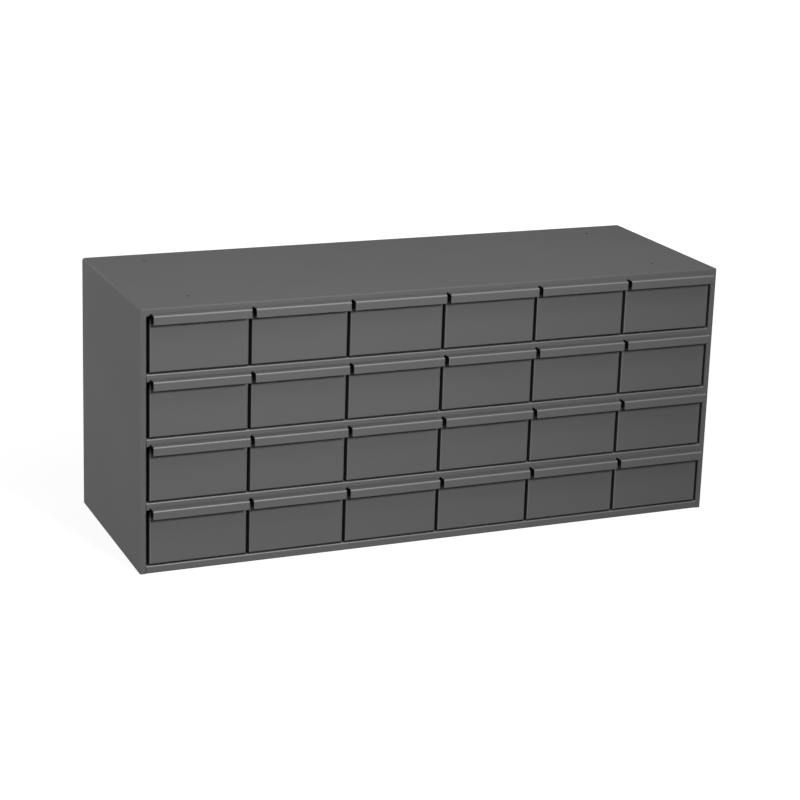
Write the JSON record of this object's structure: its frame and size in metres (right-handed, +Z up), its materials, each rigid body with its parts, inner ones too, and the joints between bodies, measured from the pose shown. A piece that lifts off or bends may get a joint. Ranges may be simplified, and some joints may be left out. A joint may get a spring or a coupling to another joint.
{
  "type": "small parts drawer cabinet",
  "caption": "Sheet-steel cabinet for small parts: a flanged case with rows of pull-out drawers on shelves, each with a full-width hook pull, and bolt holes in the top and the base.",
  "frame": {"origin": "middle of the footprint, pulls included, on the surface that the cabinet stands on", "axes": "+X across the front to the right as seen from the front, +Y to the back, +Z up; the drawers open towards -Y"},
  "size_m": [0.8572, 0.3112, 0.3651],
  "materials": {
    "case_enamel": "semi-matte grey baked enamel on the case",
    "drawer_enamel": "semi-matte grey baked enamel on the drawers"
  },
  "bodies": {
    "cabinet": {"shell_wrap": "case_enamel", "bottom_pan": "case_enamel", "back_panel": "case_enamel", "shelf_1": "case_enamel", "shelf_2": "case_enamel", "shelf_3": "case_enamel", "partitions_row_1": "case_enamel", "partitions_row_2": "case_enamel", "partitions_row_3": "case_enamel", "partitions_row_4": "case_enamel"},
    "drawer_r1c1": {"drawer_tray_r1c1": "drawer_enamel", "drawer_front_r1c1": "drawer_enamel"},
    "drawer_r1c2": {"drawer_tray_r1c2": "drawer_enamel", "drawer_front_r1c2": "drawer_enamel"},
    "drawer_r1c3": {"drawer_tray_r1c3": "drawer_enamel", "drawer_front_r1c3": "drawer_enamel"},
    "drawer_r1c4": {"drawer_tray_r1c4": "drawer_enamel", "drawer_front_r1c4": "drawer_enamel"},
    "drawer_r1c5": {"drawer_tray_r1c5": "drawer_enamel", "drawer_front_r1c5": "drawer_enamel"},
    "drawer_r1c6": {"drawer_tray_r1c6": "drawer_enamel", "drawer_front_r1c6": "drawer_enamel"},
    "drawer_r2c1": {"drawer_tray_r2c1": "drawer_enamel", "drawer_front_r2c1": "drawer_enamel"},
    "drawer_r2c2": {"drawer_tray_r2c2": "drawer_enamel", "drawer_front_r2c2": "drawer_enamel"},
    "drawer_r2c3": {"drawer_tray_r2c3": "drawer_enamel", "drawer_front_r2c3": "drawer_enamel"},
    "drawer_r2c4": {"drawer_tray_r2c4": "drawer_enamel", "drawer_front_r2c4": "drawer_enamel"},
    "drawer_r2c5": {"drawer_tray_r2c5": "drawer_enamel", "drawer_front_r2c5": "drawer_enamel"},
    "drawer_r2c6": {"drawer_tray_r2c6": "drawer_enamel", "drawer_front_r2c6": "drawer_enamel"},
    "drawer_r3c1": {"drawer_tray_r3c1": "drawer_enamel", "drawer_front_r3c1": "drawer_enamel"},
    "drawer_r3c2": {"drawer_tray_r3c2": "drawer_enamel", "drawer_front_r3c2": "drawer_enamel"},
    "drawer_r3c3": {"drawer_tray_r3c3": "drawer_enamel", "drawer_front_r3c3": "drawer_enamel"},
    "drawer_r3c4": {"drawer_tray_r3c4": "drawer_enamel", "drawer_front_r3c4": "drawer_enamel"},
    "drawer_r3c5": {"drawer_tray_r3c5": "drawer_enamel", "drawer_front_r3c5": "drawer_enamel"},
    "drawer_r3c6": {"drawer_tray_r3c6": "drawer_enamel", "drawer_front_r3c6": "drawer_enamel"},
    "drawer_r4c1": {"drawer_tray_r4c1": "drawer_enamel", "drawer_front_r4c1": "drawer_enamel"},
    "drawer_r4c2": {"drawer_tray_r4c2": "drawer_enamel", "drawer_front_r4c2": "drawer_enamel"},
    "drawer_r4c3": {"drawer_tray_r4c3": "drawer_enamel", "drawer_front_r4c3": "drawer_enamel"},
    "drawer_r4c4": {"drawer_tray_r4c4": "drawer_enamel", "drawer_front_r4c4": "drawer_enamel"},
    "drawer_r4c5": {"drawer_tray_r4c5": "drawer_enamel", "drawer_front_r4c5": "drawer_enamel"},
    "drawer_r4c6": {"drawer_tray_r4c6": "drawer_enamel", "drawer_front_r4c6": "drawer_enamel"}
  },
  "joints": [
    {"name": "drawer_r1c1_slide", "type": "slide", "parent": "cabinet", "child": "drawer_r1c1", "axis": [0, -1, 0], "range_m": [0, 0.264]},
    {"name": "drawer_r1c2_slide", "type": "slide", "parent": "cabinet", "child": "drawer_r1c2", "axis": [0, -1, 0], "range_m": [0, 0.264]},
    {"name": "drawer_r1c3_slide", "type": "slide", "parent": "cabinet", "child": "drawer_r1c3", "axis": [0, -1, 0], "range_m": [0, 0.264]},
    {"name": "drawer_r1c4_slide", "type": "slide", "parent": "cabinet", "child": "drawer_r1c4", "axis": [0, -1, 0], "range_m": [0, 0.264]},
    {"name": "drawer_r1c5_slide", "type": "slide", "parent": "cabinet", "child": "drawer_r1c5", "axis": [0, -1, 0], "range_m": [0, 0.264]},
    {"name": "drawer_r1c6_slide", "type": "slide", "parent": "cabinet", "child": "drawer_r1c6", "axis": [0, -1, 0], "range_m": [0, 0.264]},
    {"name": "drawer_r2c1_slide", "type": "slide", "parent": "cabinet", "child": "drawer_r2c1", "axis": [0, -1, 0], "range_m": [0, 0.264]},
    {"name": "drawer_r2c2_slide", "type": "slide", "parent": "cabinet", "child": "drawer_r2c2", "axis": [0, -1, 0], "range_m": [0, 0.264]},
    {"name": "drawer_r2c3_slide", "type": "slide", "parent": "cabinet", "child": "drawer_r2c3", "axis": [0, -1, 0], "range_m": [0, 0.264]},
    {"name": "drawer_r2c4_slide", "type": "slide", "parent": "cabinet", "child": "drawer_r2c4", "axis": [0, -1, 0], "range_m": [0, 0.264]},
    {"name": "drawer_r2c5_slide", "type": "slide", "parent": "cabinet", "child": "drawer_r2c5", "axis": [0, -1, 0], "range_m": [0, 0.264]},
    {"name": "drawer_r2c6_slide", "type": "slide", "parent": "cabinet", "child": "drawer_r2c6", "axis": [0, -1, 0], "range_m": [0, 0.264]},
    {"name": "drawer_r3c1_slide", "type": "slide", "parent": "cabinet", "child": "drawer_r3c1", "axis": [0, -1, 0], "range_m": [0, 0.264]},
    {"name": "drawer_r3c2_slide", "type": "slide", "parent": "cabinet", "child": "drawer_r3c2", "axis": [0, -1, 0], "range_m": [0, 0.264]},
    {"name": "drawer_r3c3_slide", "type": "slide", "parent": "cabinet", "child": "drawer_r3c3", "axis": [0, -1, 0], "range_m": [0, 0.264]},
    {"name": "drawer_r3c4_slide", "type": "slide", "parent": "cabinet", "child": "drawer_r3c4", "axis": [0, -1, 0], "range_m": [0, 0.264]},
    {"name": "drawer_r3c5_slide", "type": "slide", "parent": "cabinet", "child": "drawer_r3c5", "axis": [0, -1, 0], "range_m": [0, 0.264]},
    {"name": "drawer_r3c6_slide", "type": "slide", "parent": "cabinet", "child": "drawer_r3c6", "axis": [0, -1, 0], "range_m": [0, 0.264]},
    {"name": "drawer_r4c1_slide", "type": "slide", "parent": "cabinet", "child": "drawer_r4c1", "axis": [0, -1, 0], "range_m": [0, 0.264]},
    {"name": "drawer_r4c2_slide", "type": "slide", "parent": "cabinet", "child": "drawer_r4c2", "axis": [0, -1, 0], "range_m": [0, 0.264]},
    {"name": "drawer_r4c3_slide", "type": "slide", "parent": "cabinet", "child": "drawer_r4c3", "axis": [0, -1, 0], "range_m": [0, 0.264]},
    {"name": "drawer_r4c4_slide", "type": "slide", "parent": "cabinet", "child": "drawer_r4c4", "axis": [0, -1, 0], "range_m": [0, 0.264]},
    {"name": "drawer_r4c5_slide", "type": "slide", "parent": "cabinet", "child": "drawer_r4c5", "axis": [0, -1, 0], "range_m": [0, 0.264]},
    {"name": "drawer_r4c6_slide", "type": "slide", "parent": "cabinet", "child": "drawer_r4c6", "axis": [0, -1, 0], "range_m": [0, 0.264]}
  ]
}
